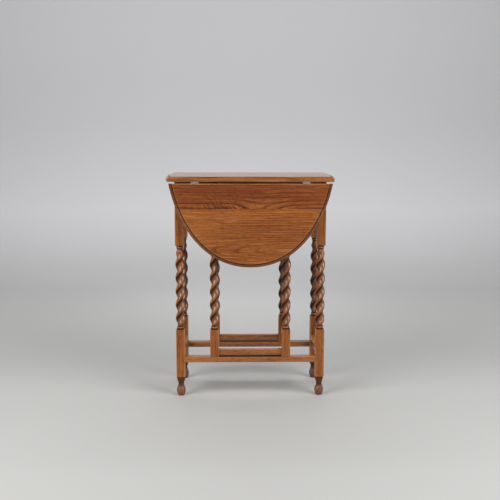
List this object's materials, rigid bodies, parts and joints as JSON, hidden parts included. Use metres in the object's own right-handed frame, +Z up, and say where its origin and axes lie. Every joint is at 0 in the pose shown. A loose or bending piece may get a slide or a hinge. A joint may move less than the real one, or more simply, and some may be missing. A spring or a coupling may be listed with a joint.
{
  "type": "gateleg drop-leaf table",
  "caption": "Small oak gateleg table with barley-twist legs, half-oval leaves that hang on hinges, and pivoting gates that carry the leaves when they are raised.",
  "frame": {"origin": "on the floor, under the middle of the top", "axes": "+Z up; +Y from the front leaf to the rear leaf, the shortest extent; +X along the joint between panel and leaf, to the right seen from the front"},
  "size_m": [0.549, 0.2916, 0.72],
  "materials": {
    "oak_top": "stained oak boards, satin-gloss varnish",
    "oak_frame": "stained turned oak, satin varnish, darker in the grooves",
    "bare_wood": "unvarnished softwood",
    "hinge_steel": "plain pressed steel, slightly dulled",
    "steel_pin": "plain drawn steel"
  },
  "bodies": {
    "frame": {"leg_front_left": "oak_frame", "leg_front_right": "oak_frame", "leg_rear_left": "oak_frame", "leg_rear_right": "oak_frame", "apron_front": "oak_frame", "apron_rear": "oak_frame", "apron_left": "oak_frame", "apron_right": "oak_frame", "stretcher_front": "oak_frame", "stretcher_rear": "oak_frame", "stretcher_left": "oak_frame", "stretcher_right": "oak_frame", "top_panel": "oak_top", "top_block_front_left": "bare_wood", "top_block_front_right": "bare_wood", "top_block_rear_left": "bare_wood", "top_block_rear_right": "bare_wood", "hinge_plate_front_left": "hinge_steel", "hinge_plate_front_right": "hinge_steel", "hinge_plate_rear_left": "hinge_steel", "hinge_plate_rear_right": "hinge_steel", "hinge_pin_front_left": "steel_pin", "hinge_pin_front_right": "steel_pin", "hinge_pin_rear_left": "steel_pin", "hinge_pin_rear_right": "steel_pin"},
    "front_leaf": {"leaf_front": "oak_top", "hinge_flap_front_left": "hinge_steel", "hinge_flap_front_right": "hinge_steel"},
    "rear_leaf": {"leaf_rear": "oak_top", "hinge_flap_rear_left": "hinge_steel", "hinge_flap_rear_right": "hinge_steel"},
    "front_gate": {"gate_pivot_post_front": "oak_frame", "gate_fly_post_front": "oak_frame", "gate_lower_rail_front": "oak_frame", "gate_upper_rail_front": "oak_frame", "gate_lower_pin_front": "steel_pin", "gate_upper_pin_front": "steel_pin"},
    "rear_gate": {"gate_pivot_post_rear": "oak_frame", "gate_fly_post_rear": "oak_frame", "gate_lower_rail_rear": "oak_frame", "gate_upper_rail_rear": "oak_frame", "gate_lower_pin_rear": "steel_pin", "gate_upper_pin_rear": "steel_pin"}
  },
  "joints": [
    {"name": "front_leaf_hinge", "type": "hinge", "parent": "frame", "child": "front_leaf", "pos_m": [0, -0.1254, 0.6996], "axis": [-1, 0, 0], "range_deg": [0, 90]},
    {"name": "rear_leaf_hinge", "type": "hinge", "parent": "frame", "child": "rear_leaf", "pos_m": [0, 0.1254, 0.6996], "axis": [1, 0, 0], "range_deg": [0, 90]},
    {"name": "front_gate_pivot", "type": "hinge", "parent": "frame", "child": "front_gate", "pos_m": [0.1165, -0.093, 0], "axis": [0, 0, 1], "range_deg": [0, 4]},
    {"name": "rear_gate_pivot", "type": "hinge", "parent": "frame", "child": "rear_gate", "pos_m": [-0.1165, 0.093, 0], "axis": [0, 0, 1], "range_deg": [0, 4]}
  ]
}
